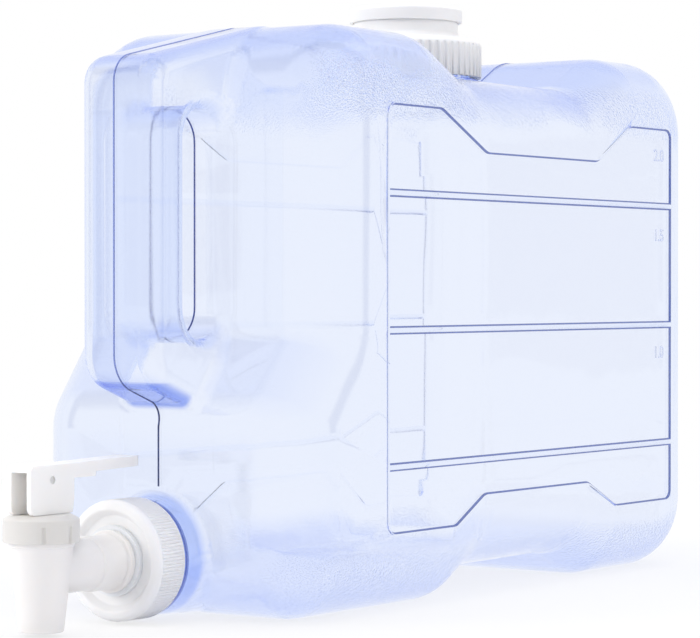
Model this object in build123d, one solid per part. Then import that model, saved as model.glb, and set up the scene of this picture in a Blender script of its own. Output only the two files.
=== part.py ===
from build123d import *
import os
from math import cos, radians, sin

# Slim carboy with a hollow grip and a lever spigot.
# Millimetres, +Z up, the spigot points to -Y, the origin is under the middle of the whole object.

# Bottle
HALF_WIDTH = 73.0
REAR_Y = 213.4
FRONT_Y = -125.0
UPPER_FRONT_Y = -101.0
HUMP_Z = 249.0
SADDLE_Z = 232.0
ARCH_Z = 12.5
SIDE_ROUND = 28.0
WALL = 1.6

# Hollow grip in front of the bottle, and the finger window behind it
GRIP_FRONT_Y = -153.6
GRIP_HALF_WIDTH = 20.0
GRIP_ROUND = 8.0
WINDOW_Y = (-129.0, -100.5)
WINDOW_Z = (116.0, 212.0)
GRIP_BLEND = 6.0

# Side panels, sunk for a label, with ribs across them
PANEL_DEPTH = 0.9
PANEL_SLOPE = 40
PANEL_Y = (-60.4, 184.2)
PANEL_Z = (34.5, 214.5)
PANEL_CORNER = 4.0
RIB_HEIGHTS = (62.0, 119.6, 177.5)
RIB_WIDTH = 3.6

# Fill neck, its screw cap and the small lid on the cap
NECK_Y = 59.5
NECK_RADIUS = 30.2
NECK_BORE = 28.4
NECK_LIP_Z = 249.8
BEAD_RADIUS = 34.4
BEAD_TOP_Z = 234.9
BEAD_BLEND = 2.0
CAP_RADIUS = 35.5
CAP_BOTTOM_Z = 235.7
CAP_TOP_Z = 253.5
CAP_WALL = 2.1
CAP_SHOULDER = 4.0
LINER_THICK = 1.5
LINER_GAP = 0.4
FLUTE_COUNT = 56
FLUTE_RADIUS = 1.1
FLUTE_TOP_Z = CAP_TOP_Z - 2.5
COLLAR_RADIUS = 24.5
COLLAR_BORE = 21.0
COLLAR_TOP_Z = 264.2
COLLAR_FOOT = 3.0
LID_RADIUS = 26.4
LID_BOTTOM_Z = 261.6
LID_TOP_Z = 268.0
LID_GAP = 0.3
LID_CEILING_Z = COLLAR_TOP_Z + LID_GAP
LID_DOME = 0.6
PLUG_RADIUS = COLLAR_BORE - 0.1
PLUG_WALL = 2.0
PLUG_BOTTOM_Z = COLLAR_TOP_Z - 5.0

# Spigot neck and the screw cap that carries the spigot; depths run along -Y from Y = 0
SPIGOT_Z = 26.4
BOSS_START = 92.0
BOSS_RADIUS = 26.2
BOSS_END_RADIUS = 24.0
BOSS_END = 138.0
BOSS_BLEND = 4.0
SPIGOT_NECK_RADIUS = 20.6
SPIGOT_NECK_BORE = 18.6
SPIGOT_NECK_LIP = 148.7
SPIGOT_CAP_RADIUS = 25.0
SPIGOT_CAP_WALL = 2.0
SPIGOT_CAP_BACK = 138.4
SPIGOT_CAP_FRONT = 156.0
PLATE_BACK = 150.5
PLATE_FRONT = 153.0
DISH_RIM_RADIUS = 20.8
DISH_RADIUS = 18.6
SHANK_RADIUS = 8.0
SHANK_HOLE = 8.3
SHANK_END = 133.5
WASHER_RADIUS = 14.5
WASHER_BORE = SHANK_RADIUS + 0.1
WASHER_THICK = 2.4
NUT_WIDTH = 26.0
NUT_THICK = 7.0
NUT_CORNER = 2.5
NUT_CHAMFER = 1.5

# Spigot body, bonnet and valve; the barrel stands on its own vertical axis
BARREL_Y = -198.2
NOZZLE_Z = 2.0
BARREL_TOP_Z = 39.6
BARREL_RIM = 1.7
SEAT_Z = 19.0
NOZZLE_RADIUS = 8.9
NOZZLE_BORE = 6.3
BARREL_RADIUS = 12.7
BARREL_NECK_RADIUS = BARREL_RADIUS - 0.8
CHAMBER_RADIUS = 8.8
FLANGE_BACK = PLATE_FRONT + WASHER_THICK
FLANGE_RADIUS = 12.8
FLANGE_THICK = 2.6
SLEEVE_RADIUS = 11.3
SLEEVE_END = 171.6
PIPE_RADIUS = 10.6
PIPE_BORE = 5.5
BONNET_RADIUS = 15.2
BONNET_BOTTOM_Z = 37.4
BONNET_RIM_Z = 46.6
BONNET_TOP_Z = 48.4
BONNET_TOP_RADIUS = 11.8
BONNET_PLATE = 4.0
BONNET_BORE = 10.0
BONNET_GROOVES = 8
GROOVE_TOP_Z = 44.2
GROOVE_RADIUS = 0.9
CUP_FLANGE_TOP_Z = BARREL_TOP_Z + 1.6
CUP_SLEEVE_WALL = 0.6
CUP_FOOT_TOP_Z = 27.0
STEM_RADIUS = 3.5
STEM_TOP_Z = 56.0
STEM_NECK_RADIUS = 2.3
STEM_FOOT_RADIUS = 3.9
STEM_FOOT_Z = (21.9, 24.3)
FOOT_GAP = 0.1
EYE_RADIUS = 2.9
EYE_BOTTOM_Z = 53.0
RUNNING_GAP = 0.06

# Lever, its pin, and the cam heel that lifts the stem
PIN_Z = 62.0
PIN_RADIUS = 1.5
PIN_SINK = 0.4
EYE_GAP = 0.3
LEVER_HALF_WIDTH = 6.0
CHEEK_THICK = 2.0
CHEEK_HALF_LENGTH = 13.0
CHEEK_BOTTOM_Z = BONNET_TOP_Z + 0.1
HEEL_TOP_Z = 54.0
LEVER_TOP_Z = 68.0
LEVER_PLATE = 2.7
ARM_TIP = 55.4
ARM_THICK = 4.3
ARM_RISE = 1.2
ARM_CORNER = 4.0
WEB_END = 26.4
WEB_DEPTH = 5.8
CAM_LIFT = 9.0
CAM_ANGLE = 12.0

# Outlines are (first, second, corner radius) rows in the plane of each section
SIDE_OUTLINE = (
    (FRONT_Y, 0, 30),
    (-5, 0, 30),
    (18, ARCH_Z, 12),
    (103, ARCH_Z, 12),
    (126, 0, 30),
    (REAR_Y, 0, 34),
    (REAR_Y, HUMP_Z, 36),
    (144, HUMP_Z, 30),
    (113.5, SADDLE_Z, 16),
    (16, SADDLE_Z, 16),
    (-19, HUMP_Z, 30),
    (UPPER_FRONT_Y, HUMP_Z, 34),
    (UPPER_FRONT_Y, 119, 14),
    (FRONT_Y, 87, 30),
)
GRIP_OUTLINE = (
    (GRIP_FRONT_Y, 231, 12),
    (-66, 251, 40),
    (-40, 244, 12),
    (-40, 84, 12),
    (-112, 84, 12),
    (GRIP_FRONT_Y, 99.2, 16),
)
PANEL_OUTLINE = (
    (PANEL_Y[0], PANEL_Z[0], PANEL_CORNER),
    (-9.5, PANEL_Z[0], 6),
    (14, 47, 10),
    (105, 47, 10),
    (131.3, PANEL_Z[0], 6),
    (PANEL_Y[1], PANEL_Z[0], PANEL_CORNER),
    (PANEL_Y[1], PANEL_Z[1], PANEL_CORNER),
    (145.5, PANEL_Z[1], 6),
    (114, 196.7, 10),
    (16, 196.7, 10),
    (-20.7, PANEL_Z[1], 6),
    (PANEL_Y[0], PANEL_Z[1], PANEL_CORNER),
)


def rounded(outline):
    """Flat face from rows of (first, second, corner radius)."""
    points = [(a, b) for a, b, _ in outline]
    radii = [c for _, _, c in outline]
    return make_face(FilletPolyline(*points, radius=radii, close=True))


def turned(outline):
    """Solid turned about Z from rows of (radius, height, corner radius)."""
    return revolve(Plane.XZ * rounded(outline), Axis.Z)


def ring(outer, inner, bottom, top):
    """Plain tube about Z between two heights."""
    return turned(((inner, bottom, 0), (outer, bottom, 0), (outer, top, 0), (inner, top, 0)))


def disc(radius, bottom, top):
    """Plain cylinder about Z between two heights."""
    return Pos(0, 0, (bottom + top) / 2) * Cylinder(radius, top - bottom)


def on_neck(shape):
    """Move a piece turned about Z to the fill neck."""
    return Pos(0, NECK_Y, 0) * shape


def on_spigot(shape):
    """Lay a piece turned about Z along -Y on the spigot's axis, so that height becomes depth."""
    return Location(Plane(origin=(0, 0, SPIGOT_Z), x_dir=(1, 0, 0), z_dir=(0, -1, 0))) * shape


def on_barrel(shape):
    """Move a piece turned about Z to the barrel's axis."""
    return Pos(0, BARREL_Y, 0) * shape


def rim_edges(block):
    """Edges round the two flat faces that look along X."""
    sides = block.faces().sort_by(Axis.X)
    return sides[0].edges() + sides[-1].edges()


def side_block(outline, inset, half_width, edge_round, window=None):
    """Slab with the given side outline, all of it smaller by the inset, rounded at both sides."""
    face = Plane.YZ * rounded(outline)
    if inset:
        face = offset(face, -inset)
    if window:
        face -= Plane.YZ * window
    block = extrude(face, half_width - inset, both=True)
    return fillet(rim_edges(block), edge_round - inset)


def finger_window(inset):
    """Upright slot behind the grip, wider by the inset for the inner skin."""
    length = WINDOW_Z[1] - WINDOW_Z[0] + 2 * inset
    width = WINDOW_Y[1] - WINDOW_Y[0] + 2 * inset
    slot = Rot(0, 0, 90) * SlotOverall(length, width)
    return Pos(sum(WINDOW_Y) / 2, sum(WINDOW_Z) / 2) * slot


def spigot_boss(inset):
    """Cone that carries the spigot neck and runs back into the bottom corner."""
    outline = (
        (0, BOSS_START, 0),
        (BOSS_RADIUS - inset, BOSS_START, 0),
        (BOSS_END_RADIUS - inset, BOSS_END - inset, 1.0),
        (0, BOSS_END - inset, 0),
    )
    return on_spigot(turned(outline))


def blended(first, second, blend):
    """Two forms made one, with the inner corner between them rounded."""
    form = first + second
    return fillet(new_edges(first, second, combined=form), blend)


def bottle_form(inset):
    """Whole bottle as a solid, smaller by the inset on every side."""
    body = side_block(SIDE_OUTLINE, inset, HALF_WIDTH, SIDE_ROUND)
    grip = side_block(GRIP_OUTLINE, inset, GRIP_HALF_WIDTH, GRIP_ROUND, finger_window(inset))
    form = blended(body, grip, GRIP_BLEND + inset)
    form = blended(form, spigot_boss(inset), BOSS_BLEND + inset)
    return form - panel_recesses(inset)


def panel_recesses(inset):
    """Sunken areas of both side panels; the ribs stay in the outer skin only."""
    face = rounded(PANEL_OUTLINE)
    if inset:
        face = offset(face, inset / 2)
    else:
        for height in RIB_HEIGHTS:
            face -= Pos(sum(PANEL_Y) / 2, height) * Rectangle(PANEL_Y[1] - PANEL_Y[0] + 1, RIB_WIDTH)
    floor = Plane(origin=(HALF_WIDTH - inset - PANEL_DEPTH, 0, 0), x_dir=(0, 1, 0), z_dir=(1, 0, 0))
    cut = extrude(floor * face, 2 * PANEL_DEPTH, taper=-PANEL_SLOPE)
    return cut + mirror(cut, Plane.YZ)


def bottle():
    """Blown shell with grip, both necks and side panels."""
    shell = bottle_form(0) - bottle_form(WALL)
    neck = ring(NECK_RADIUS, NECK_BORE, SADDLE_Z - 1, NECK_LIP_Z)
    bead = turned(
        (
            (NECK_BORE, SADDLE_Z - 1, 0),
            (BEAD_RADIUS + 2 * BEAD_BLEND, SADDLE_Z - 1, 0),
            (BEAD_RADIUS + 2 * BEAD_BLEND, SADDLE_Z, 0),
            (BEAD_RADIUS, SADDLE_Z, BEAD_BLEND),
            (BEAD_RADIUS, BEAD_TOP_Z, 0.8),
            (NECK_BORE, BEAD_TOP_Z, 0),
        )
    )
    front_neck = disc(SPIGOT_NECK_RADIUS, BOSS_END - 1, SPIGOT_NECK_LIP)
    shell += on_neck(neck + bead) + on_spigot(front_neck)
    shell -= on_neck(disc(NECK_BORE, SADDLE_Z - 3 * WALL, NECK_LIP_Z + 1))
    shell -= on_spigot(disc(SPIGOT_NECK_BORE, BOSS_END - 3 * WALL, SPIGOT_NECK_LIP + 1))
    return shell


def fill_cap():
    """Fluted screw cap with a pouring collar on top."""
    inside = CAP_RADIUS - CAP_WALL
    seat = NECK_LIP_Z + LINER_THICK
    shell = turned(
        (
            (CAP_RADIUS, CAP_BOTTOM_Z, 0.5),
            (CAP_RADIUS, CAP_TOP_Z, CAP_SHOULDER),
            (COLLAR_RADIUS + COLLAR_FOOT, CAP_TOP_Z, 1.5),
            (COLLAR_RADIUS, CAP_TOP_Z + COLLAR_FOOT, 2),
            (COLLAR_RADIUS, COLLAR_TOP_Z, 0.5),
            (COLLAR_BORE, COLLAR_TOP_Z, 0.5),
            (COLLAR_BORE, seat, 0),
            (inside, seat, 0),
            (inside, CAP_BOTTOM_Z, 0),
        )
    )
    flute = disc(FLUTE_RADIUS, CAP_BOTTOM_Z - 1, FLUTE_TOP_Z)
    flutes = PolarLocations(CAP_RADIUS + FLUTE_RADIUS / 2, FLUTE_COUNT) * flute
    return on_neck(shell - flutes)


def fill_cap_liner():
    """Sealing ring between the neck's lip and the cap."""
    outer = CAP_RADIUS - CAP_WALL - LINER_GAP
    return on_neck(ring(outer, COLLAR_BORE + 1, NECK_LIP_Z, NECK_LIP_Z + LINER_THICK))


def pour_lid():
    """Small lid that plugs and caps the collar."""
    return on_neck(
        turned(
            (
                (0, LID_TOP_Z, 0),
                (LID_RADIUS, LID_TOP_Z, 1.4),
                (LID_RADIUS, LID_BOTTOM_Z, 0.4),
                (COLLAR_RADIUS + LID_GAP, LID_BOTTOM_Z, 0),
                (COLLAR_RADIUS + LID_GAP, LID_CEILING_Z, 0),
                (PLUG_RADIUS, LID_CEILING_Z, 0),
                (PLUG_RADIUS, PLUG_BOTTOM_Z, 0.4),
                (PLUG_RADIUS - PLUG_WALL, PLUG_BOTTOM_Z, 0.4),
                (PLUG_RADIUS - PLUG_WALL, LID_CEILING_Z + LID_DOME, 1),
                (0, LID_CEILING_Z + LID_DOME, 0),
            )
        )
    )


def spigot_cap():
    """Screw cap with a dished front that holds the spigot's flange."""
    inside = SPIGOT_CAP_RADIUS - SPIGOT_CAP_WALL
    return on_spigot(
        turned(
            (
                (inside, SPIGOT_CAP_BACK, 0),
                (SPIGOT_CAP_RADIUS, SPIGOT_CAP_BACK, 0.6),
                (SPIGOT_CAP_RADIUS, SPIGOT_CAP_FRONT - 1, 3),
                (DISH_RIM_RADIUS, SPIGOT_CAP_FRONT, 1.2),
                (DISH_RADIUS, PLATE_FRONT, 1),
                (SHANK_HOLE, PLATE_FRONT, 0),
                (SHANK_HOLE, PLATE_BACK, 0),
                (inside, PLATE_BACK, 0),
            )
        )
    )


def spigot_cap_gasket():
    """Sealing ring between the front neck's lip and the cap."""
    outer = SPIGOT_CAP_RADIUS - SPIGOT_CAP_WALL - LINER_GAP
    return on_spigot(ring(outer, SPIGOT_NECK_BORE + 0.2, SPIGOT_NECK_LIP, PLATE_BACK))


def flange_washer():
    """Soft washer in the dish, under the spigot's flange."""
    return on_spigot(ring(WASHER_RADIUS, WASHER_BORE, PLATE_FRONT, FLANGE_BACK))


def shank_washer():
    """Soft washer behind the cap's front plate."""
    return on_spigot(ring(WASHER_RADIUS, WASHER_BORE, PLATE_BACK - WASHER_THICK, PLATE_BACK))


def shank_nut():
    """Hexagon nut that clamps the spigot in its cap."""
    front = PLATE_BACK - WASHER_THICK
    back = front - NUT_THICK
    flats = NUT_WIDTH / 2
    hexagon = RegularPolygon(flats, 6, major_radius=False)
    nut = extrude(Pos(0, 0, back) * hexagon, NUT_THICK)
    corners = turned(
        (
            (0, back, 0),
            (flats, back, 0),
            (flats + NUT_CORNER, back + NUT_CHAMFER, 0),
            (flats + NUT_CORNER, front, 0),
            (0, front, 0),
        )
    )
    return on_spigot((nut & corners) - disc(SHANK_RADIUS + RUNNING_GAP, back, front))


def spigot_body():
    """Barrel with nozzle, side pipe, flange and threaded shank, moulded as one."""
    barrel = turned(
        (
            (0, NOZZLE_Z, 0),
            (NOZZLE_RADIUS, NOZZLE_Z, 0.6),
            (BARREL_RADIUS, BONNET_BOTTOM_Z - BARREL_RIM, 0.3),
            (BARREL_RADIUS + 0.5, BONNET_BOTTOM_Z - BARREL_RIM, 0.3),
            (BARREL_RADIUS + 0.5, BONNET_BOTTOM_Z, 0),
            (BARREL_NECK_RADIUS, BONNET_BOTTOM_Z, 0),
            (BARREL_NECK_RADIUS, BARREL_TOP_Z, 0),
            (0, BARREL_TOP_Z, 0),
        )
    )
    pipe = turned(
        (
            (0, SHANK_END, 0),
            (SHANK_RADIUS, SHANK_END, 0.8),
            (SHANK_RADIUS, FLANGE_BACK, 0),
            (FLANGE_RADIUS, FLANGE_BACK, 0.4),
            (FLANGE_RADIUS, FLANGE_BACK + FLANGE_THICK, 0.8),
            (SLEEVE_RADIUS, FLANGE_BACK + FLANGE_THICK + 0.6, 0.6),
            (SLEEVE_RADIUS, SLEEVE_END, 0.8),
            (PIPE_RADIUS, SLEEVE_END + 0.6, 0.4),
            (PIPE_RADIUS, -BARREL_Y, 0),
            (0, -BARREL_Y, 0),
        )
    )
    body = on_barrel(barrel) + on_spigot(pipe)
    body -= on_barrel(disc(CHAMBER_RADIUS, SEAT_Z, BARREL_TOP_Z + 1))
    body -= on_barrel(disc(NOZZLE_BORE, NOZZLE_Z - 1, SEAT_Z + 1))
    return body - on_spigot(disc(PIPE_BORE, SHANK_END - 1, -BARREL_Y))


def bonnet():
    """Grooved ring nut that closes the barrel and guides the stem."""
    ceiling = BONNET_TOP_Z - BONNET_PLATE
    thread_radius = BARREL_NECK_RADIUS + 0.3
    shell = turned(
        (
            (STEM_RADIUS + RUNNING_GAP, ceiling, 0),
            (STEM_RADIUS + RUNNING_GAP, BONNET_TOP_Z, 0),
            (BONNET_TOP_RADIUS, BONNET_TOP_Z, 1),
            (BONNET_RADIUS, BONNET_RIM_Z, 1),
            (BONNET_RADIUS, BONNET_BOTTOM_Z, 0.6),
            (thread_radius, BONNET_BOTTOM_Z, 0),
            (thread_radius, CUP_FLANGE_TOP_Z, 0),
            (BONNET_BORE, CUP_FLANGE_TOP_Z, 0),
            (BONNET_BORE, ceiling, 1),
        )
    )
    groove = disc(GROOVE_RADIUS, BONNET_BOTTOM_Z - 1, GROOVE_TOP_Z)
    return on_barrel(shell - PolarLocations(BONNET_RADIUS + 0.3, BONNET_GROOVES) * groove)


def seat_cup():
    """Soft cup: flange under the bonnet, thin sleeve, thick foot on the seat."""
    sleeve = CHAMBER_RADIUS - 1.8
    socket_low = STEM_FOOT_Z[0] - FOOT_GAP
    socket_high = STEM_FOOT_Z[1] + FOOT_GAP
    return on_barrel(
        turned(
            (
                (0, SEAT_Z, 0),
                (CHAMBER_RADIUS - 0.9, SEAT_Z, 1.5),
                (CHAMBER_RADIUS - 0.5, BARREL_TOP_Z, 0),
                (BARREL_NECK_RADIUS, BARREL_TOP_Z, 0),
                (BARREL_NECK_RADIUS, CUP_FLANGE_TOP_Z, 0),
                (sleeve, CUP_FLANGE_TOP_Z, 0),
                (sleeve - CUP_SLEEVE_WALL, CUP_FOOT_TOP_Z, 1),
                (STEM_NECK_RADIUS + FOOT_GAP, CUP_FOOT_TOP_Z, 0),
                (STEM_NECK_RADIUS + FOOT_GAP, socket_high, 0),
                (STEM_FOOT_RADIUS + FOOT_GAP, socket_high, 0),
                (STEM_FOOT_RADIUS + FOOT_GAP, socket_low, 0),
                (0, socket_low, 0),
            )
        )
    )


def stem():
    """Rod with a foot held in the cup and a flat eye for the lever's pin."""
    rod = turned(
        (
            (0, STEM_FOOT_Z[0], 0),
            (STEM_FOOT_RADIUS, STEM_FOOT_Z[0], 0),
            (STEM_FOOT_RADIUS, STEM_FOOT_Z[1], 0),
            (STEM_NECK_RADIUS, STEM_FOOT_Z[1], 0),
            (STEM_NECK_RADIUS, CUP_FOOT_TOP_Z + 1, 0),
            (STEM_RADIUS, CUP_FOOT_TOP_Z + 2.2, 0),
            (STEM_RADIUS, STEM_TOP_Z - 1, 0.5),
            (0, STEM_TOP_Z, 0),
        )
    )
    width = 2 * (LEVER_HALF_WIDTH - CHEEK_THICK - EYE_GAP)
    height = PIN_Z - EYE_BOTTOM_Z
    eye = Pos(0, 0, PIN_Z) * Rot(0, 90, 0) * Cylinder(EYE_RADIUS, width)
    eye += Pos(0, 0, PIN_Z - height / 2) * Box(width, 2 * EYE_RADIUS, height)
    hole = Pos(0, 0, PIN_Z) * Rot(0, 90, 0) * Cylinder(PIN_RADIUS + RUNNING_GAP, 2 * width)
    return on_barrel(rod + eye - hole)


def lever_pin():
    """Cross pin, sunk a little in the lever's cheeks."""
    length = 2 * (LEVER_HALF_WIDTH - PIN_SINK)
    return on_barrel(Pos(0, 0, PIN_Z) * Rot(0, 90, 0) * Cylinder(PIN_RADIUS, length))


def cam_point(angle):
    """Point of the heel, from the pin, that touches the bonnet after a turn by the angle.

    The height of the pin over it grows in proportion to the angle, so the heel is an involute.
    """
    turn = radians(angle)
    height = PIN_Z - CHEEK_BOTTOM_Z + CAM_LIFT * turn
    return (height * sin(turn) + CAM_LIFT * cos(turn), CAM_LIFT * sin(turn) - height * cos(turn))


def cheek_outline():
    """Side outline of the lever's cheeks, in the YZ plane, from the pin."""
    heel = [cam_point(CAM_ANGLE * step / 4) for step in range(5)]
    bottom = CHEEK_BOTTOM_Z - PIN_Z
    top = LEVER_TOP_Z - PIN_Z
    front = FilletPolyline(
        heel[0],
        (-CHEEK_HALF_LENGTH, bottom),
        (-CHEEK_HALF_LENGTH, top),
        (CHEEK_HALF_LENGTH, top),
        (CHEEK_HALF_LENGTH, HEEL_TOP_Z - PIN_Z),
        heel[-1],
        radius=[3, 2.5, 0, 4],
    )
    return make_face(front.edges() + [Spline(*heel)])


def lever():
    """Channel over the stem with a flat arm and two short webs; its heels roll on the bonnet."""
    wide = LEVER_HALF_WIDTH
    top = LEVER_TOP_Z - PIN_Z
    inner = 2 * (wide - CHEEK_THICK)
    arm_outline = (
        (0, top - LEVER_PLATE, 0),
        (CHEEK_HALF_LENGTH - 3, top - ARM_THICK, 0),
        (ARM_TIP, top + ARM_RISE - ARM_THICK, 1.8),
        (ARM_TIP, top + ARM_RISE, 1.8),
        (CHEEK_HALF_LENGTH, top, 0),
        (0, top, 0),
    )
    web_outline = (
        (CHEEK_HALF_LENGTH - 1, top - 2, 0),
        (WEB_END, top - 2, 0),
        (WEB_END, top - WEB_DEPTH, 1),
        (CHEEK_HALF_LENGTH - 1, top - WEB_DEPTH, 0),
    )
    plan = Pos(0, ARM_TIP / 2) * RectangleRounded(2 * wide, ARM_TIP, ARM_CORNER)
    plan += Pos(0, CHEEK_HALF_LENGTH / 2) * Rectangle(2 * wide, CHEEK_HALF_LENGTH)
    cheeks = extrude(Plane.YZ * cheek_outline(), wide, both=True)
    cheeks -= Pos(0, 0, top - LEVER_PLATE - LEVER_TOP_Z / 2) * Box(inner, ARM_TIP, LEVER_TOP_Z)
    arm = extrude(Plane.YZ * rounded(arm_outline), wide, both=True) & extrude(plan, 2 * top, both=True)
    arm -= Box(inner, 2 * CHEEK_HALF_LENGTH - 2 * CHEEK_THICK, 2 * (top - LEVER_PLATE))
    webs = extrude(Plane.YZ * rounded(web_outline), wide, both=True)
    webs -= Box(inner, 4 * WEB_END, 2 * (top - ARM_THICK))
    hole = Rot(0, 90, 0) * Cylinder(PIN_RADIUS + RUNNING_GAP, 4 * wide)
    return on_barrel(Pos(0, 0, PIN_Z) * (cheeks + arm + webs - hole))


PIECES = (
    bottle,
    fill_cap,
    fill_cap_liner,
    pour_lid,
    spigot_cap,
    spigot_cap_gasket,
    flange_washer,
    shank_washer,
    shank_nut,
    spigot_body,
    bonnet,
    seat_cup,
    stem,
    lever_pin,
    lever,
)

os.makedirs("parts", exist_ok=True)
for piece in PIECES:
    export_step(piece(), f"parts/{piece.__name__}.step")
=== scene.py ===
from math import cos, pi, radians, sin, tan

import bmesh
import bpy
import numpy as np
from mathutils import Matrix, Vector


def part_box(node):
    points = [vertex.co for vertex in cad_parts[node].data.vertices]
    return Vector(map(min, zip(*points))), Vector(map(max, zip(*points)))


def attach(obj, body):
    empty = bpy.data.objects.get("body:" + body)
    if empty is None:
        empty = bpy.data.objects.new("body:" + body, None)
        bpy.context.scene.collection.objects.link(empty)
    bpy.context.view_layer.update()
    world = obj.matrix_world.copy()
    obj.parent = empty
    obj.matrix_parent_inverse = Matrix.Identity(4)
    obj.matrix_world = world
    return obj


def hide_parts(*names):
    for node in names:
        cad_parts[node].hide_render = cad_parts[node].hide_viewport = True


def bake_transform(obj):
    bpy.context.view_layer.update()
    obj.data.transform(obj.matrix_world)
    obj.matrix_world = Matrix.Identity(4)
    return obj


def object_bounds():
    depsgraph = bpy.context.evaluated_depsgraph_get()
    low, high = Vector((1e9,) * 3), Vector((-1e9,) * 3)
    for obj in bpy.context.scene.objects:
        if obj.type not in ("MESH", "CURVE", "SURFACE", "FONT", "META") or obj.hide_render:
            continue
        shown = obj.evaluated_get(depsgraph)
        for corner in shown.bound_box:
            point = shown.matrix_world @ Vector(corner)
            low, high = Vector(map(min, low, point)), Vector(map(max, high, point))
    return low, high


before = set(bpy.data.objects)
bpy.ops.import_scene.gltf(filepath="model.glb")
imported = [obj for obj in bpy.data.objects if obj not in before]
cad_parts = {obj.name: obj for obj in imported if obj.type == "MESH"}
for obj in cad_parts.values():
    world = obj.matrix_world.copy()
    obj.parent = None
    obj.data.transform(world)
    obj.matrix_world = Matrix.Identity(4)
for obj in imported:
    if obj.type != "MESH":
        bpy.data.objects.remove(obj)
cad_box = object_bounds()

bl_info = {
    "name": "Carboy with spigot",
    "version": (1, 0, 0),
    "blender": (4, 5, 0),
    "location": "3D View > Sidebar > Carboy",
    "description": "Finishes a slim clear carboy with screw caps and a lever spigot",
    "category": "Object",
}

MM = 0.001

# Axes of the turned pieces, from the frame
NECK_LOW, NECK_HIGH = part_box("fill_cap")
SPIGOT_LOW, SPIGOT_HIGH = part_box("spigot_cap")
NECK_AXIS_Y = (NECK_LOW.y + NECK_HIGH.y) / 2
SPIGOT_AXIS_Z = (SPIGOT_LOW.z + SPIGOT_HIGH.z) / 2

# Middle line of the bottle in the YZ plane, in mm, as (y, z, corner radius) rows, in four stretches:
# from the neck forwards over the grip to the front boss, from the rear hump to the neck, under the
# arch, and round the inside of the finger window, where it closes on itself
SEAMS = {
    "front_seam": (
        (23, 232, 0), (16, 232, 16), (-19, 249, 30), (-58, 249, 20), (-74, 249.1, 20),
        (-153.6, 231, 12), (-153.6, 99.2, 16), (-123, 88, 8), (-125, 80, 6), (-125, 55, 0),
    ),
    "rear_seam": ((184, 249, 0), (144, 249, 30), (113.5, 232, 16), (96, 232, 0)),
    "arch_seam": ((3, 4.3, 0), (18, 12.5, 12), (103, 12.5, 12), (118, 4.3, 0)),
    "window_seam": (
        (-100.5, 164, 0), (-100.5, 116, 14.2), (-129, 116, 14.2),
        (-129, 212, 14.2), (-100.5, 212, 14.2), (-100.5, 164, 0),
    ),
}

# Threads, in mm: root radius, where the first turn starts along the axis, turns, and whether the
# thread stands outwards (1) on a neck or inwards (-1) in a cap. The spigot cap's thread starts half
# a pitch after its neck's, so that the two run in each other's gaps.
FILL_NECK_THREAD = (30.2, 239.3, 2.0, 1)
FILL_CAP_THREAD = (33.4, 237.2, 2.0, -1)
FRONT_NECK_THREAD = (20.6, 140.6, 1.5, 1)
SPIGOT_CAP_THREAD = (23.0, 142.7165, 1.3, -1)

# Volume figures of the side panel: name, words and height of the middle in mm
MARKS = (("mark_high", "2.0", 202), ("mark_middle", "1.5", 163), ("mark_low", "1.0", 106))
MARK_Y = 174 * MM
MARK_HALF_THICKNESS, MARK_RAISED = 0.15 * MM, 0.1 * MM
PANEL_DEPTH = 0.9 * MM

# Section of the spigot's screw cap, in mm, as (radius, distance from Y = 0, corner radius) rows
SPIGOT_CAP_SECTION = (
    (24.0, 138.4, 0), (25.0, 138.4, 0.5), (25.0, 155.0, 3), (20.8, 156.0, 1.2), (18.6, 153.0, 1),
    (8.3, 153.0, 0.3), (8.3, 150.5, 0.3), (23.0, 150.5, 0.5), (23.0, 138.4, 0.3), (24.0, 138.4, 0),
)
RIBS_FROM, RIBS_TO, RIBS_OVER_RADIUS = 139.2 * MM, 152.6 * MM, 24.9 * MM

# Level direction, fixed in the room, that the studio's dark flags stand square to
FLAG_AXIS = (-0.574, 0.819, 0.0)

# Soft boxes: name, place and aim in metres, side in metres, watts and colour
LAMPS = (
    ("overhead", (0, -0.1, 1.4), (0, -0.1, 0.1), 1.4, 10, "#FFFFFF"),
    ("left", (-1.1, -1.2, 0.65), (0, 0, 0.08), 0.9, 13, "#FFFEFC"),
    ("right", (1.3, -0.1, 0.8), (0, 0, 0.12), 0.9, 3, "#FFFDFB"),
)

# Opaque plastics: name, colour, colour it drifts to, roughness, share of light that bleeds in, and
# size of the skin's grain in mm
PLASTICS = (
    ("injection-moulded polypropylene", "#F4F3F2", "#F2F1EF", 0.36, 0.4, 0.35),
    ("injection-moulded acetal", "#F6F4F1", "#F3F1ED", 0.30, 0.5, 0.3),
    # the next two are the white acetal with painted shade, deeper for the bonnet, lighter for the spigot
    # body
    ("injection-moulded acetal, painted deep shade", "#DCD9D4", "#D7D4CE", 0.30, 0.4, 0.3),
    ("injection-moulded acetal, painted shade", "#EFECE9", "#EBE8E4", 0.30, 0.5, 0.3),
    ("foamed polyethylene", "#E9E9E6", "#DFDFDB", 0.6, 0.3, 0.5),
    ("platinum silicone", "#EEEFF0", "#E8EAEC", 0.5, 0.4, 0.6),
)

SMOOTH = {"interpolation_type": "SMOOTHSTEP"}


# ---------------------------------------------------------------- settings


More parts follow.
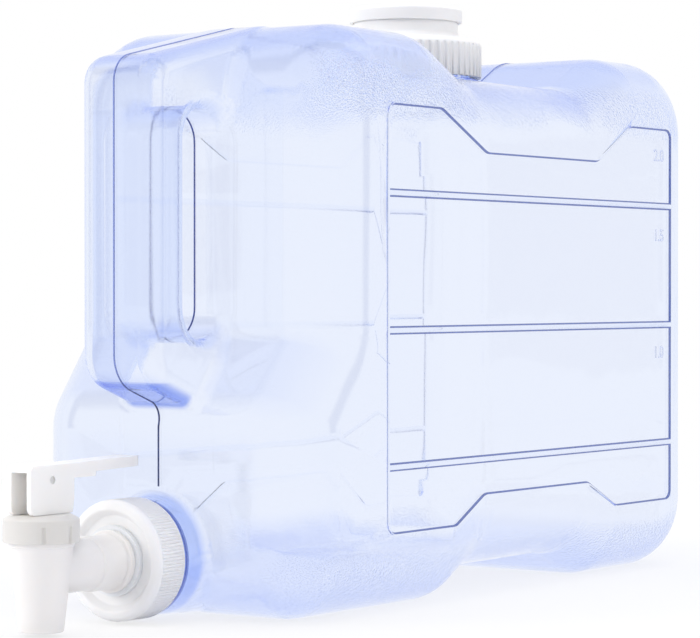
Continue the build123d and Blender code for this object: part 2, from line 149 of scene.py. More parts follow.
class CarboyBottleSettings(bpy.types.PropertyGroup):
    """Sizes and colour of the bottle's fine details."""

    tint: bpy.props.FloatVectorProperty(
        name="Tint", description="Share of red, green and blue that the wall lets through a metre",
        size=3, subtype="COLOR", default=(0.10, 0.36, 0.96),
    )
    tint_density: bpy.props.FloatProperty(
        name="Tint density", description="How strongly the wall colours what is behind it",
        default=46.0, min=0.0,
    )
    seam_width: bpy.props.FloatProperty(
        name="Seam width", description="Width of the mould's parting line",
        default=0.9 * MM, unit="LENGTH",
    )
    seam_height: bpy.props.FloatProperty(
        name="Seam height", description="How far the parting line stands out",
        default=0.3 * MM, unit="LENGTH",
    )
    mark_height: bpy.props.FloatProperty(
        name="Mark height", description="Height of the volume figures", default=6.0 * MM, unit="LENGTH",
    )


class CarboyThreadSettings(bpy.types.PropertyGroup):
    """Screw threads of both necks and both caps."""

    pitch: bpy.props.FloatProperty(
        name="Pitch", description="Distance from turn to turn", default=4.233 * MM, unit="LENGTH",
    )
    depth: bpy.props.FloatProperty(
        name="Depth", description="How far a thread stands out", default=1.6 * MM, unit="LENGTH",
    )


class CarboyCapSettings(bpy.types.PropertyGroup):
    """Grip of the spigot's screw cap."""

    rib_count: bpy.props.IntProperty(
        name="Ribs", description="Number of fine ribs round the cap", default=112, min=3,
    )
    rib_depth: bpy.props.FloatProperty(
        name="Rib depth", description="Depth of the grooves between the ribs",
        default=0.6 * MM, unit="LENGTH",
    )


class CarboyStageSettings(bpy.types.PropertyGroup):
    """Camera and floor."""

    camera_place: bpy.props.FloatVectorProperty(
        name="Camera place", description="Where the camera stands", size=3, subtype="TRANSLATION",
        default=(0.7218, -1.01665, 0.1368),
    )
    camera_turn: bpy.props.FloatProperty(
        name="Camera azimuth", description="Turn of the camera from the front",
        default=radians(35.01), subtype="ANGLE",
    )
    camera_dip: bpy.props.FloatProperty(
        name="Camera dip", description="How far the camera looks down",
        default=radians(0.613), subtype="ANGLE",
    )
    lens: bpy.props.FloatProperty(
        name="Lens", description="Focal length for a 36 mm wide sensor", default=141.7, unit="CAMERA",
    )
    floor_size: bpy.props.FloatProperty(
        name="Floor size", description="Side of the floor", default=12.0, unit="LENGTH",
    )


# ---------------------------------------------------------------- nodes and materials


def linear(code):
    """Linear colour with alpha 1 from an sRGB hex value."""
    parts = np.array([int(code[i : i + 2], 16) for i in (1, 3, 5)]) / 255
    low, high = parts / 12.92, ((parts + 0.055) / 1.055) ** 2.4
    return (*np.where(parts <= 0.04045, low, high).tolist(), 1.0)


def add(tree, kind, links=None, values=None, **settings):
    """Add a node, set its fields, its socket values and the links into it."""
    node = tree.nodes.new(kind)
    for key, value in settings.items():
        setattr(node, key, value)
    for key, value in (values or {}).items():
        node.inputs[key].default_value = value
    for key, socket in (links or {}).items():
        tree.links.new(socket, node.inputs[key])
    return node


def new_material(name):
    """Tree and output of a new node material that is empty but for its output."""
    material = bpy.data.materials.new(name)
    material.use_nodes = True
    tree = material.node_tree
    tree.nodes.clear()
    return tree, add(tree, "ShaderNodeOutputMaterial")


def span(low, high, out_low=0.0, out_high=1.0):
    """Socket values that carry one range of a value to another."""
    return {"From Min": low, "From Max": high, "To Min": out_low, "To Max": out_high}


def wall_normal(tree, place, split, side):
    """Normal of the blown wall: soft corners, slow upright waves, and the mould's stipple over and
    under the side panels, in patches.
    """
    # slow waves of the wall, about 35 mm apart and three times as tall
    streaks = add(tree, "ShaderNodeMapping", {"Vector": place}, {"Scale": (28, 28, 9)})
    waves = add(
        tree, "ShaderNodeTexNoise", {"Vector": streaks.outputs["Vector"]},
        {"Scale": 1.0, "Detail": 1.5, "Roughness": 0.4},
    )
    # a blown wall has no sharp edge: corners bend light as though rounded by 0.6 mm
    soft_edge = add(tree, "ShaderNodeBevel", values={"Radius": 0.6 * MM}, samples=2)
    wave_bump = add(
        tree, "ShaderNodeBump",
        {"Height": waves.outputs["Fac"], "Normal": soft_edge.outputs["Normal"]},
        {"Strength": 0.25, "Distance": 1.6 * MM},
    )
    # grains of 0.8 mm
    grains = add(
        tree, "ShaderNodeTexVoronoi", {"Vector": place}, {"Scale": 1 / (0.8 * MM), "Randomness": 1.0},
    )
    over = add(tree, "ShaderNodeMapRange", {"Value": split.outputs["Z"]}, span(0.203, 0.217), **SMOOTH)
    crown = add(
        tree, "ShaderNodeMapRange", {"Value": split.outputs["Z"]}, span(0.226, 0.238, 1.0, 0.0), **SMOOTH,
    )
    under = add(tree, "ShaderNodeMapRange", {"Value": split.outputs["Z"]}, span(0.030, 0.018), **SMOOTH)
    outer = add(tree, "ShaderNodeMapRange", {"Value": side}, span(0.046, 0.062), **SMOOTH)
    patch = add(tree, "ShaderNodeTexNoise", {"Vector": place}, {"Scale": 16.0, "Detail": 2.0})
    patchy = add(tree, "ShaderNodeMapRange", {"Value": patch.outputs["Fac"]}, span(0.35, 0.55), **SMOOTH)
    upper = add(tree, "ShaderNodeMath", {0: over.outputs[0], 1: crown.outputs[0]}, operation="MULTIPLY")
    height = add(tree, "ShaderNodeMath", {0: upper.outputs[0], 1: under.outputs[0]}, operation="MAXIMUM")
    for factor in (outer.outputs[0], patchy.outputs[0], grains.outputs["Distance"]):
        height = add(tree, "ShaderNodeMath", {0: height.outputs[0], 1: factor}, operation="MULTIPLY")
    stipple = add(
        tree, "ShaderNodeBump", {"Height": height.outputs[0], "Normal": wave_bump.outputs["Normal"]},
        {"Strength": 0.35, "Distance": 0.4 * MM},
    )
    return stipple.outputs["Normal"]


def wall_colour(tree, split, side):
    """Colour of the blown wall: nearly clear, bluer where it is level or thick, with painted shade at the
    steep steps and behind the spigot cap.
    """
    wall = add(tree, "ShaderNodeNewGeometry")
    # the 50 degree steps of the side panels and their ribs get painted shade, navy lines on the outer skin
    # only, standing in for the dark surroundings that the steps bend into view
    facing = add(tree, "ShaderNodeSeparateXYZ", {"Vector": wall.outputs["True Normal"]})
    slant = add(tree, "ShaderNodeMath", {0: facing.outputs["X"]}, operation="ABSOLUTE")
    sloped = add(tree, "ShaderNodeMath", {0: slant.outputs[0]}, {1: 0.64, 2: 0.16}, operation="COMPARE")
    at_panel = add(tree, "ShaderNodeMath", {0: side}, {1: 72.05 * MM}, operation="GREATER_THAN")
    step = add(
        tree, "ShaderNodeMath", {0: sloped.outputs[0], 1: at_panel.outputs[0]}, operation="MULTIPLY",
    )
    step_shade_lines = add(
        tree, "ShaderNodeMath", {0: step.outputs[0], 1: wall.outputs["Backfacing"]},
        operation="SUBTRACT", use_clamp=True,
    )
    # the front neck and its boss are blown thicker than the walls, so they are bluer
    low = add(tree, "ShaderNodeMapRange", {"Value": split.outputs["Z"]}, span(0.080, 0.070), **SMOOTH)
    front = add(tree, "ShaderNodeMapRange", {"Value": split.outputs["Y"]}, span(-0.124, -0.128), **SMOOTH)
    thick = add(tree, "ShaderNodeMath", {0: front.outputs[0], 1: low.outputs[0]}, operation="MULTIPLY")
    # painted shade: a navy ring round the boss where it meets the rear edge of the spigot cap
    ring = add(
        tree, "ShaderNodeMath", {0: split.outputs["Y"]}, {1: -136 * MM, 2: 0.9 * MM}, operation="COMPARE",
    )
    gap_shade = add(tree, "ShaderNodeMath", {0: ring.outputs[0], 1: low.outputs[0]}, operation="MULTIPLY")
    # level stretches of the wall gather more colour than upright ones, because light runs along them
    lie = add(tree, "ShaderNodeSeparateXYZ", {"Vector": wall.outputs["Normal"]})
    level = add(tree, "ShaderNodeMath", {0: lie.outputs["Z"]}, operation="ABSOLUTE")
    flat = add(tree, "ShaderNodeMapRange", {"Value": level.outputs[0]}, span(0.35, 0.85), **SMOOTH)
    # the wall is thickest under the grip and at both ends of the finger window, and deep blue there
    deep = add(tree, "ShaderNodeMath", {0: split.outputs["Z"]}, {1: 92 * MM, 2: 7 * MM}, operation="COMPARE")
    for height, reach in ((130 * MM, 4 * MM), (198 * MM, 6 * MM)):
        band = add(
            tree, "ShaderNodeMath", {0: split.outputs["Z"]}, {1: height, 2: reach}, operation="COMPARE",
        )
        deep = add(tree, "ShaderNodeMath", {0: deep.outputs[0], 1: band.outputs[0]}, operation="MAXIMUM")
    middle = add(tree, "ShaderNodeMapRange", {"Value": side}, span(0.022, 0.020), **SMOOTH)
    grip = add(tree, "ShaderNodeMapRange", {"Value": split.outputs["Y"]}, span(-0.096, -0.100), **SMOOTH)
    for factor in (middle, grip, flat):
        deep = add(tree, "ShaderNodeMath", {0: deep.outputs[0], 1: factor.outputs[0]}, operation="MULTIPLY")
    colour = add(
        tree, "ShaderNodeMix", {"Factor": flat.outputs[0]}, {6: linear("#FCFDFF"), 7: linear("#ECF1FF")},
        data_type="RGBA",
    )
    # the ring behind the cap and the navy lines at the steps are painted shade
    for mask, code in ((thick, "#C8D6FC"), (gap_shade, "#5466B0"), (deep, "#9CB0F4"), (step_shade_lines, "#2F3D80")):
        colour = add(
            tree, "ShaderNodeMix", {"Factor": mask.outputs[0], 6: colour.outputs[2]}, {7: linear(code)},
            data_type="RGBA",
        )
    return colour.outputs[2]


def blown_polycarbonate(settings):
    """Blow-moulded polycarbonate: clear, glossy, pale blue, deeper where the wall is seen edge on, with
    painted shade at the panel steps and behind the spigot cap.

    The mould's stippled shoulders scatter what is behind them, and the wall's slow thickness
    changes bend it a little, in upright streaks.
    """
    tree, output = new_material("blow-moulded polycarbonate")
    place = add(tree, "ShaderNodeTexCoord").outputs["Object"]
    split = add(tree, "ShaderNodeSeparateXYZ", {"Vector": place})
    side = add(tree, "ShaderNodeMath", {0: split.outputs["X"]}, operation="ABSOLUTE").outputs[0]
    glass = add(
        tree, "ShaderNodeBsdfPrincipled",
        {"Normal": wall_normal(tree, place, split, side), "Base Color": wall_colour(tree, split, side)},
        {"Roughness": 0.02, "IOR": 1.58, "Transmission Weight": 1.0},
    )
    # light that has met many skins goes straight on, so that it isn't lost in the wall
    rays = add(tree, "ShaderNodeLightPath")
    many = add(
        tree, "ShaderNodeMath", {0: rays.outputs["Ray Depth"]}, {1: 5.5}, operation="GREATER_THAN",
    )
    clear = add(tree, "ShaderNodeBsdfTransparent", values={"Color": (1, 1, 1, 1)})
    skin = add(
        tree, "ShaderNodeMixShader",
        {0: many.outputs[0], 1: glass.outputs["BSDF"], 2: clear.outputs["BSDF"]},
    )
    # lamps shine through the wall and leave a pale blue shadow
    through = add(tree, "ShaderNodeBsdfTransparent", values={"Color": linear("#F2F6FF")})
    mixed = add(
        tree, "ShaderNodeMixShader",
        {0: rays.outputs["Is Shadow Ray"], 1: skin.outputs["Shader"], 2: through.outputs["BSDF"]},
    )
    inside = add(
        tree, "ShaderNodeVolumeAbsorption",
        values={"Color": (*settings.tint, 1.0), "Density": settings.tint_density},
    )
    tree.links.new(mixed.outputs["Shader"], output.inputs["Surface"])
    tree.links.new(inside.outputs["Volume"], output.inputs["Volume"])


def pinched_polycarbonate(name, low, high):
    """Pinched polycarbonate of the parting line: clear, but thick and cloudy, so it reads as a navy
    thread low down and, over the grip, as a paler one, where the wall was drawn thin.
    """
    tree, output = new_material(name)
    place = add(tree, "ShaderNodeTexCoord").outputs["Object"]
    split = add(tree, "ShaderNodeSeparateXYZ", {"Vector": place})
    cloud = add(tree, "ShaderNodeTexNoise", {"Vector": place}, {"Scale": 90.0, "Detail": 2.0})
    waver = add(
        tree, "ShaderNodeMapRange", {"Value": cloud.outputs["Fac"]}, span(0.3, 0.7, -0.004, 0.004), **SMOOTH,
    )
    level = add(tree, "ShaderNodeMath", {0: split.outputs["Z"], 1: waver.outputs[0]}, operation="ADD")
    upper = add(tree, "ShaderNodeMapRange", {"Value": level.outputs[0]}, span(0.092, 0.112), **SMOOTH)
    tone = add(
        tree, "ShaderNodeMix", {"Factor": upper.outputs[0]}, {6: linear(low), 7: linear(high)},
        data_type="RGBA",
    )
    glass = add(
        tree, "ShaderNodeBsdfPrincipled", {"Base Color": tone.outputs[2]},
        {"Roughness": 0.15, "IOR": 1.58, "Transmission Weight": 0.7},
    )
    tree.links.new(glass.outputs["BSDF"], output.inputs["Surface"])


def moulded_plastic(name, colour, shade, roughness, scatter, grain_mm):
    """Opaque moulded plastic: even colour with a faint slow drift, satin skin, light that bleeds in
    a little.
    """
    tree, output = new_material(name)
    place = add(tree, "ShaderNodeTexCoord").outputs["Object"]
    drift = add(tree, "ShaderNodeTexNoise", {"Vector": place}, {"Scale": 40.0, "Detail": 1.0}).outputs["Fac"]
    share = add(tree, "ShaderNodeMapRange", {"Value": drift}, span(0.1, 0.9), **SMOOTH)
    tone = add(
        tree, "ShaderNodeMix", {"Factor": share.outputs[0]}, {6: linear(colour), 7: linear(shade)},
        data_type="RGBA",
    )
    grain = add(
        tree, "ShaderNodeTexNoise", {"Vector": place}, {"Scale": 1 / (grain_mm * MM), "Detail": 2.0},
    )
    bump = add(
        tree, "ShaderNodeBump", {"Height": grain.outputs["Fac"]}, {"Strength": 0.08, "Distance": 0.05 * MM},
    )
    gloss = add(
        tree, "ShaderNodeMapRange", {"Value": drift}, span(0.1, 0.9, roughness - 0.03, roughness + 0.03),
        **SMOOTH,
    )
    skin = add(
        tree, "ShaderNodeBsdfPrincipled",
        {"Base Color": tone.outputs[2], "Roughness": gloss.outputs[0], "Normal": bump.outputs["Normal"]},
        {"IOR": 1.49, "Subsurface Weight": scatter, "Subsurface Radius": (1.0, 0.9, 0.8),
         "Subsurface Scale": 1 * MM},
    )
    tree.links.new(skin.outputs["BSDF"], output.inputs["Surface"])


def ground_steel():
    """Ground stainless steel: a pin with fine scratches round it."""
    tree, output = new_material("ground stainless steel")
    place = add(tree, "ShaderNodeTexCoord").outputs["Object"]
    scratch = add(tree, "ShaderNodeMapping", {"Vector": place}, {"Scale": (9000, 300, 300)})
    lines = add(tree, "ShaderNodeTexNoise", {"Vector": scratch.outputs["Vector"]}, {"Scale": 1.0})
    rough = add(
        tree, "ShaderNodeMapRange", {"Value": lines.outputs["Fac"]}, span(0.3, 0.7, 0.22, 0.38), **SMOOTH,
    )
    metal = add(
        tree, "ShaderNodeBsdfPrincipled", {"Roughness": rough.outputs[0]},
        {"Base Color": linear("#DEDDDA"), "Metallic": 1.0},
    )
    tree.links.new(metal.outputs["BSDF"], output.inputs["Surface"])


def finishes():
    """All materials of the object by name, made once."""
    if not bpy.data.materials.get("blow-moulded polycarbonate"):
        blown_polycarbonate(bpy.context.scene.carboy_bottle)
        pinched_polycarbonate("pinched polycarbonate", "#34447E", "#98A8E4")
        pinched_polycarbonate("pinched polycarbonate, window", "#3A4C98", "#4458A8")
        for row in PLASTICS:
            moulded_plastic(*row)
        ground_steel()
    return bpy.data.materials


# ---------------------------------------------------------------- meshes


def grid_mesh(name, points, wrap_rows=False, wrap_columns=False, cap_ends=False):
    """Object from a grid of points: quads between neighbours, joined round where a direction wraps."""
    rows, columns = points.shape[:2]
    index = np.arange(rows * columns).reshape(rows, columns)
    ends = [index[0][::-1].tolist(), index[-1].tolist()] if cap_ends else []
    if wrap_rows:
        index = np.vstack([index, index[:1]])
    if wrap_columns:
        index = np.hstack([index, index[:, :1]])
    quads = np.stack([index[:-1, :-1], index[:-1, 1:], index[1:, 1:], index[1:, :-1]], axis=-1)
    mesh = bpy.data.meshes.new(name)
    mesh.from_pydata(points.reshape(-1, 3).tolist(), [], quads.reshape(-1, 4).tolist() + ends)
    return finish_mesh(name, mesh)


def finish_mesh(name, mesh, sharp_degrees=35):
    """Object from a mesh, normals outwards, smooth but for its hard edges."""
    work = bmesh.new()
    work.from_mesh(mesh)
    bmesh.ops.remove_doubles(work, verts=work.verts, dist=1e-7)
    bmesh.ops.recalc_face_normals(work, faces=work.faces)
    work.to_mesh(mesh)
    work.free()
    mesh.shade_smooth()
    mesh.set_sharp_from_angle(angle=radians(sharp_degrees))
    piece = bpy.data.objects.new(name, mesh)
    bpy.context.scene.collection.objects.link(piece)
    return piece


def rounded_path(corners, segments=10):
    """Points along a line with rounded corners.

    Each corner gives a place and a radius. Its arc starts and ends at radius times the tangent
    of half the turn from the corner, and its centre lies on the corner's bisector.
    """
    places = np.array([c[:-1] for c in corners], float)
    radii = [c[-1] for c in corners]
    path = [places[:1]]
    for before, corner, after, radius in zip(places[:-2], places[1:-1], places[2:], radii[1:-1]):
        back, ahead = before - corner, after - corner
        back, ahead = back / np.linalg.norm(back), ahead / np.linalg.norm(ahead)
        turn = pi - np.arccos(np.clip(back @ ahead, -1, 1))
        if radius <= 0 or turn < 1e-4:
            path.append(corner[None])
            continue
        bisector = (back + ahead) / np.linalg.norm(back + ahead)
        centre = corner + bisector * radius / cos(turn / 2)
        start = corner + back * radius * tan(turn / 2) - centre
        across = -bisector * radius - start * cos(turn / 2)
        across = across / sin(turn / 2)
        angles = np.linspace(0, turn, segments + 1)[:, None]
        path.append(centre + start * np.cos(angles) + across * np.sin(angles))
    path.append(places[-1:])
    return np.concatenate(path)


def turned_points(profile, angles):
    """Grid about Z: each (radius, height) row of the profile is turned to each angle."""
    radius, height = profile[:, 0][None], profile[:, 1][None]
    turn = angles[:, None]
    return np.stack([radius * np.cos(turn), radius * np.sin(turn), height + 0 * turn], axis=-1)


def along_spigot(points):
    """Lay points made about Z along -Y, on the spigot's axis: (x, y, z) goes to (x, -z, y)."""
    return np.stack([points[..., 0], -points[..., 2], points[..., 1] + SPIGOT_AXIS_Z], axis=-1)


def on_neck(points):
    """Move points made about Z to the fill neck's axis."""
    return points + np.array([0, NECK_AXIS_Y, 0])


def thread_points(settings, radius_mm, start_mm, turns, outward, steps=72):
    """Helical thread about Z.

    A trapezoid of the thread's depth is carried round, and its height is the start plus the pitch
    times the turns made. Its depth fades to nothing over a fifth of a turn at both ends.
    """
    along = np.linspace(0, turns, int(steps * turns) + 1)[:, None]
    fade = np.clip(np.minimum(along, turns - along) / 0.2, 0.02, 1)
    root, half_root, half_crest = 0.25 * MM, 1.0 * MM, 0.45 * MM
    depth = np.array([-root, settings.depth, settings.depth, -root])[None]
    offset = np.array([-half_root, -half_crest, half_crest, half_root])[None]
    reach = radius_mm * MM + outward * np.where(depth > 0, depth * fade, depth)
    height = start_mm * MM + settings.pitch * along + offset * (0.4 + 0.6 * fade)
    angle = 2 * pi * along
    return np.stack([reach * np.cos(angle), reach * np.sin(angle), height + 0 * angle], axis=-1)


def bead_points(path, width, height):
    """Half-round bead along a path in the plane X = 0.

    Across the path, the section is half an ellipse that stands out along the path's normal,
    its foot sunk a third of its height into the wall.
    """
    step = np.gradient(path, axis=0)
    ahead = step / np.linalg.norm(step, axis=1, keepdims=True)
    normal = np.cross(ahead, np.array([1.0, 0, 0]))
    angle = np.linspace(0, pi, 7)[None, :, None]
    side = np.array([1.0, 0, 0]) * np.cos(angle) * width / 2
    out = normal[:, None] * (np.sin(angle) * height * 1.33 - height / 3)
    return path[:, None] + side + out


def merged_copy(node, name):
    """Copy of a CAD node's mesh with its corners joined, flat faces kept flat and curves smooth."""
    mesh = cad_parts[node].data.copy()
    mesh.materials.clear()
    piece = finish_mesh(name, mesh, 30)
    level = piece.modifiers.new("flat faces stay flat", "WEIGHTED_NORMAL")
    level.keep_sharp = True
    return piece


def dress(piece, material, body):
    """Give a piece its material and the body it moves with."""
    piece.data.materials.clear()
    piece.data.materials.append(finishes()[material])
    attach(piece, body)


# ---------------------------------------------------------------- pieces


class CARBOY_OT_bottle(bpy.types.Operator):
    """Clear shell of the bottle, from the frame's own solid."""

    bl_idname = "carboy.bottle"
    bl_label = "Bottle"

    def execute(self, context):
        shell = merged_copy("bottle", "bottle_shell")
        dress(shell, "blow-moulded polycarbonate", "bottle")
        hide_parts("bottle")
        return {"FINISHED"}


class CARBOY_OT_seams(bpy.types.Operator):
    """Parting line that the two mould halves leave along the middle of the bottle."""

    bl_idname = "carboy.seams"
    bl_label = "Parting line"

    def execute(self, context):
        settings = context.scene.carboy_bottle
        for name, rows in SEAMS.items():
            path = rounded_path([(0, *row) for row in rows]) * MM
            points = bead_points(path, settings.seam_width, settings.seam_height)
            closed = rows[0] == rows[-1]
            bead = grid_mesh(name, points[:-1] if closed else points, closed, True, not closed)
            finish = "pinched polycarbonate, window" if closed else "pinched polycarbonate"
            dress(bead, finish, "bottle")
        return {"FINISHED"}


class CARBOY_OT_threads(bpy.types.Operator):
    """Screw threads of the fill neck, the front neck and their caps."""

    bl_idname = "carboy.threads"
    bl_label = "Threads"

    def execute(self, context):
        settings = context.scene.carboy_threads
        glassy, white = "blow-moulded polycarbonate", "injection-moulded polypropylene"
        for name, size, place, finish, body, slot in (
            ("fill_neck_thread", FILL_NECK_THREAD, on_neck, glassy, "bottle", "bottle_plastic"),
            ("front_neck_thread", FRONT_NECK_THREAD, along_spigot, glassy, "bottle", "bottle_plastic"),
            ("fill_cap_thread", FILL_CAP_THREAD, on_neck, white, "fill_cap", "cap_plastic"),
            ("spigot_cap_thread", SPIGOT_CAP_THREAD, along_spigot, white, "spigot", "cap_plastic"),
        ):
            points = place(thread_points(settings, *size))
            thread = grid_mesh(name, points, wrap_columns=True, cap_ends=True)
            dress(thread, finish, body)
        return {"FINISHED"}


class CARBOY_OT_marks(bpy.types.Operator):
    """Raised volume figures at the rear of the side panel."""

    bl_idname = "carboy.marks"
    bl_label = "Volume figures"

    def execute(self, context):
        settings = context.scene.carboy_bottle
        middle_x = cad_box[1].x - PANEL_DEPTH + MARK_RAISED
        for name, words, height in MARKS:
            text = bpy.data.curves.new(name, "FONT")
            text.body = words
            text.size = settings.mark_height * 1.4
            text.align_x, text.align_y = "CENTER", "CENTER"
            text.extrude = MARK_HALF_THICKNESS
            maker = bpy.data.objects.new(name + "_text", text)
            context.scene.collection.objects.link(maker)
            context.view_layer.update()
            graph = context.evaluated_depsgraph_get()
            mesh = bpy.data.meshes.new_from_object(maker.evaluated_get(graph))
            bpy.data.objects.remove(maker)
            # words run along Y, stand up along Z and face +X
            rows = (0, 0, 1, middle_x), (1, 0, 0, MARK_Y), (0, 1, 0, height * MM), (0, 0, 0, 1)
            mesh.transform(Matrix(rows))
            figure = finish_mesh(name, mesh)
            dress(figure, "blow-moulded polycarbonate", "bottle")
        return {"FINISHED"}


class CARBOY_OT_fill_cap(bpy.types.Operator):
    """Fluted cap, its liner and the small lid."""

    bl_idname = "carboy.fill_cap"
    bl_label = "Fill cap"

    def execute(self, context):
        for node, finish in (
            ("fill_cap", "injection-moulded polypropylene"),
            ("pour_lid", "injection-moulded polypropylene"),
            ("fill_cap_liner", "foamed polyethylene"),
        ):
            finish_node(node, finish)
        return {"FINISHED"}


class CARBOY_OT_spigot_cap(bpy.types.Operator):
    """Screw cap of the spigot with its fine ribs.

    A closed profile is turned about the spigot's axis. Between two heights of the skirt, the
    radius drops by the rib depth times half of one minus the cosine of rib count times angle.
    """

    bl_idname = "carboy.spigot_cap"
    bl_label = "Spigot cap"

    def execute(self, context):
        settings = context.scene.carboy_caps
        profile = rounded_path(SPIGOT_CAP_SECTION, 6)[:-1] * MM
        # rows of the straight skirt, between the arcs of its two corners
        skirt = np.linspace(profile[7], profile[8], 14)[1:-1]
        profile = np.concatenate([profile[:8], skirt, profile[8:]])
        angles = np.linspace(0, 2 * pi, settings.rib_count * 8 + 1)[:-1]
        points = turned_points(profile, angles)
        radius, height = profile.T
        on_skirt = (radius > RIBS_OVER_RADIUS) & (height > RIBS_FROM) & (height < RIBS_TO)
        groove = settings.rib_depth * (1 - np.cos(settings.rib_count * angles)) / 2
        shrink = 1 - groove[:, None] * on_skirt[None] / radius[None]
        points[..., :2] *= shrink[..., None]
        cap = grid_mesh("ribbed_spigot_cap", along_spigot(points), True, True)
        dress(cap, "injection-moulded polypropylene", "spigot")
        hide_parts("spigot_cap")
        return {"FINISHED"}


class CARBOY_OT_spigot(bpy.types.Operator):
    """Body, bonnet, lever and the pieces inside the spigot."""

    bl_idname = "carboy.spigot"
    bl_label = "Spigot"

    def execute(self, context):
        for node, finish in (
            # body and bonnet take the white acetal with painted shade, where less light falls on them
            ("spigot_body", "injection-moulded acetal, painted shade"),
            ("bonnet", "injection-moulded acetal, painted deep shade"),
            ("lever", "injection-moulded acetal"),
            ("stem", "injection-moulded acetal"),
            ("shank_nut", "injection-moulded acetal"),
            ("flange_washer", "platinum silicone"),
            ("shank_washer", "platinum silicone"),
            ("spigot_cap_gasket", "foamed polyethylene"),
            ("lever_pin", "ground stainless steel"),
        ):
            finish_node(node, finish)
        # the silicone cup is a smooth copy of its CAD node, with its place baked into the mesh
        cup = merged_copy("seat_cup", "stretching_seat_cup")
        cup.data.materials.append(finishes()["platinum silicone"])
        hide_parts("seat_cup")
        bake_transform(cup)
        return {"FINISHED"}


def finish_node(node, material):
    """Give a CAD node its material, and join its loose triangles so that its curves are smooth."""
    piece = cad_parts[node]
    piece.data.materials.clear()
    piece.data.materials.append(finishes()[material])
    weld = piece.modifiers.new("joined corners", "WELD")
    weld.merge_threshold = 1e-6


# ---------------------------------------------------------------- stage


def seen_ray(tree):
    """1 for rays from the camera, from gloss and through glass, 0 for light that falls on things."""
    rays = add(tree, "ShaderNodeLightPath")
    seen = rays.outputs["Is Camera Ray"]
    for kind in ("Is Glossy Ray", "Is Transmission Ray"):
        seen = add(tree, "ShaderNodeMath", {0: seen, 1: rays.outputs[kind]}, operation="MAXIMUM").outputs[0]
    return seen


def white_floor():
    """Matt white table: it takes a soft shadow near the object and runs into plain white further out."""
    tree, output = new_material("matt white board")
    place = add(tree, "ShaderNodeTexCoord").outputs["Object"]
    distance = add(tree, "ShaderNodeVectorMath", {0: place}, operation="LENGTH")
    far = add(tree, "ShaderNodeMapRange", {"Value": distance.outputs["Value"]}, span(0.30, 0.75), **SMOOTH)
    board = add(tree, "ShaderNodeBsdfDiffuse", values={"Color": linear("#F4F4F6"), "Roughness": 0.5})
    plain = add(tree, "ShaderNodeEmission", values={"Color": (1, 1, 1, 1), "Strength": 1.0})
    # plain white takes 0.76 of the board's place, and 0.94 where it is seen through the clear wall
    rays = add(tree, "ShaderNodeLightPath")
    share = add(
        tree, "ShaderNodeMath", {0: rays.outputs["Is Camera Ray"]}, {1: -0.18, 2: 0.94},
        operation="MULTIPLY_ADD",
    )
    shader = board.outputs["BSDF"]
    for factor in (share.outputs[0], far.outputs[0]):
        shader = add(
            tree, "ShaderNodeMixShader", {0: factor, 1: shader, 2: plain.outputs["Emission"]},
        ).outputs["Shader"]
    real = add(tree, "ShaderNodeMixShader", {0: seen_ray(tree), 1: board.outputs["BSDF"], 2: shader})
    tree.links.new(real.outputs["Shader"], output.inputs["Surface"])
    return bpy.data.materials["matt white board"]


def studio_world(scene):
    """Soft white room for light. Where it is seen through or in the clear wall it is white round the
    horizon, pale blue overhead and navy on both sides, which draws the dark edges of clear plastic.
    """
    world = bpy.data.worlds.new("studio")
    scene.world = world
    world.use_nodes = True
    tree = world.node_tree
    tree.nodes.clear()
    output = add(tree, "ShaderNodeOutputWorld")
    light = add(tree, "ShaderNodeBackground", values={"Color": linear("#F6F8FF"), "Strength": 0.72})
    direction = add(tree, "ShaderNodeTexCoord").outputs["Generated"]
    split = add(tree, "ShaderNodeSeparateXYZ", {"Vector": direction})
    overhead = add(
        tree, "ShaderNodeMapRange", {"Value": split.outputs["Z"]}, span(0.35, 0.70, 0.0, 0.3), **SMOOTH,
    )
    # narrow upright flags stand on both sides, clear of what the wall's flat faces mirror
    ahead = add(
        tree, "ShaderNodeVectorMath", {0: direction}, {1: FLAG_AXIS}, operation="DOT_PRODUCT",
    ).outputs["Value"]
    near = add(tree, "ShaderNodeMapRange", {"Value": ahead}, span(-0.18, -0.06), **SMOOTH)
    far = add(tree, "ShaderNodeMapRange", {"Value": ahead}, span(0.06, 0.20, 1.0, 0.0), **SMOOTH)
    flags = add(tree, "ShaderNodeMath", {0: near.outputs[0], 1: far.outputs[0]}, operation="MULTIPLY")
    rays = add(tree, "ShaderNodeLightPath")
    hidden = add(
        tree, "ShaderNodeMath", {1: rays.outputs["Is Camera Ray"]}, {0: 1.0}, operation="SUBTRACT",
    )
    pale, navy = (
        add(tree, "ShaderNodeMath", {0: shade.outputs[0], 1: hidden.outputs[0]}, operation="MULTIPLY")
        for shade in (overhead, flags)
    )
    sky = add(
        tree, "ShaderNodeMix", {"Factor": pale.outputs[0]}, {6: (1, 1, 1, 1), 7: linear("#7C98FC")},
        data_type="RGBA",
    )
    tone = add(
        tree, "ShaderNodeMix", {"Factor": navy.outputs[0], 6: sky.outputs[2]}, {7: linear("#3A4CA0")},
        data_type="RGBA",
    )
    seen = add(tree, "ShaderNodeBackground", {"Color": tone.outputs[2]}, {"Strength": 1.0})
    blend = add(
        tree, "ShaderNodeMixShader",
        {0: seen_ray(tree), 1: light.outputs["Background"], 2: seen.outputs["Background"]},
    )
    tree.links.new(blend.outputs["Shader"], output.inputs["Surface"])


def soft_lamp(name, place, aim, side, power, colour):
    """Square soft box at a place, turned to its aim and kept out of gloss and clear plastic."""
    lamp = bpy.data.lights.new(name, "AREA")
    lamp.shape = "RECTANGLE"
    lamp.size = lamp.size_y = side
    lamp.energy = power
    lamp.color = linear(colour)[:3]
    stand = bpy.data.objects.new(name, lamp)
    stand.location = place
    stand.rotation_euler = (Vector(aim) - Vector(place)).to_track_quat("-Z", "Y").to_euler()
    stand.visible_glossy = False
    stand.visible_transmission = False
    bpy.context.scene.collection.objects.link(stand)


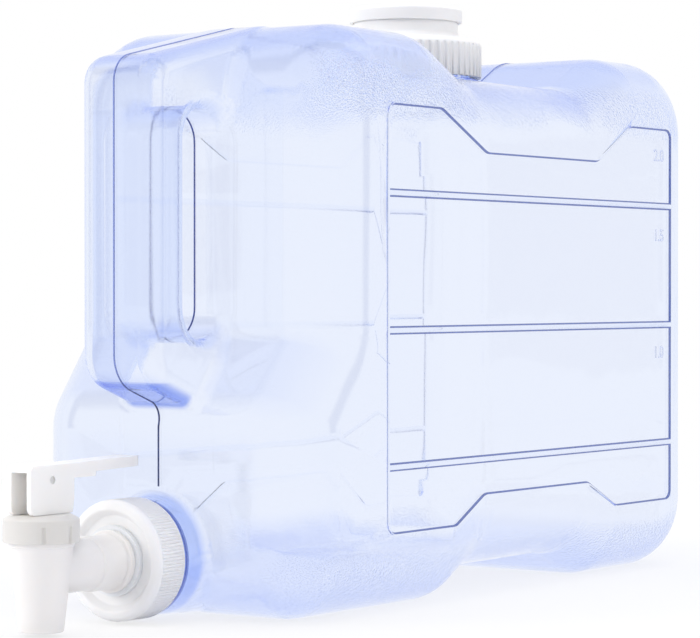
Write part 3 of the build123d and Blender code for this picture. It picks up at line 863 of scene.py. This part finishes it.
class CARBOY_OT_stage(bpy.types.Operator):
    """Camera, floor, world and soft lamps."""

    bl_idname = "carboy.stage"
    bl_label = "Stage"

    def execute(self, context):
        scene = context.scene
        settings = scene.carboy_stage
        scene.view_settings.view_transform = "Standard"
        lens = bpy.data.cameras.new("camera")
        lens.sensor_width = 36
        lens.lens = settings.lens
        camera = bpy.data.objects.new("camera", lens)
        turn, dip = settings.camera_turn, settings.camera_dip
        look = Vector((-sin(turn) * cos(dip), cos(turn) * cos(dip), -sin(dip)))
        camera.location = settings.camera_place
        camera.rotation_euler = look.to_track_quat("-Z", "Y").to_euler()
        scene.collection.objects.link(camera)
        scene.camera = camera
        half = settings.floor_size / 2
        corners = [[(-half, -half, 0), (half, -half, 0)], [(-half, half, 0), (half, half, 0)]]
        floor = grid_mesh("floor", np.array(corners, float))
        floor.data.materials.append(white_floor())
        studio_world(scene)
        for row in LAMPS:
            soft_lamp(*row)
        return {"FINISHED"}


class VIEW3D_PT_carboy(bpy.types.Panel):
    """Sidebar panel with every step."""

    bl_label = "Carboy with spigot"
    bl_space_type = "VIEW_3D"
    bl_region_type = "UI"
    bl_category = "Carboy"

    def draw(self, context):
        for step in STEPS:
            self.layout.operator(step.bl_idname)
        for group in GROUPS:
            box = self.layout.box()
            for field in GROUPS[group].__annotations__:
                box.prop(getattr(context.scene, group), field)


GROUPS = {
    "carboy_bottle": CarboyBottleSettings,
    "carboy_threads": CarboyThreadSettings,
    "carboy_caps": CarboyCapSettings,
    "carboy_stage": CarboyStageSettings,
}
STEPS = (
    CARBOY_OT_stage,
    CARBOY_OT_bottle,
    CARBOY_OT_seams,
    CARBOY_OT_threads,
    CARBOY_OT_marks,
    CARBOY_OT_fill_cap,
    CARBOY_OT_spigot_cap,
    CARBOY_OT_spigot,
)


def register():
    """Register every class and hang the settings on the scene."""
    for kind in (*GROUPS.values(), *STEPS, VIEW3D_PT_carboy):
        bpy.utils.register_class(kind)
    for name, kind in GROUPS.items():
        setattr(bpy.types.Scene, name, bpy.props.PointerProperty(type=kind))


def unregister():
    """Take the settings and the classes away again."""
    for name in GROUPS:
        delattr(bpy.types.Scene, name)
    for kind in reversed((*GROUPS.values(), *STEPS, VIEW3D_PT_carboy)):
        bpy.utils.unregister_class(kind)


def main():
    """Run every step in order."""
    register()
    for step in STEPS:
        group, name = step.bl_idname.split(".")
        getattr(getattr(bpy.ops, group), name)()


if __name__ == "__main__":
    main()
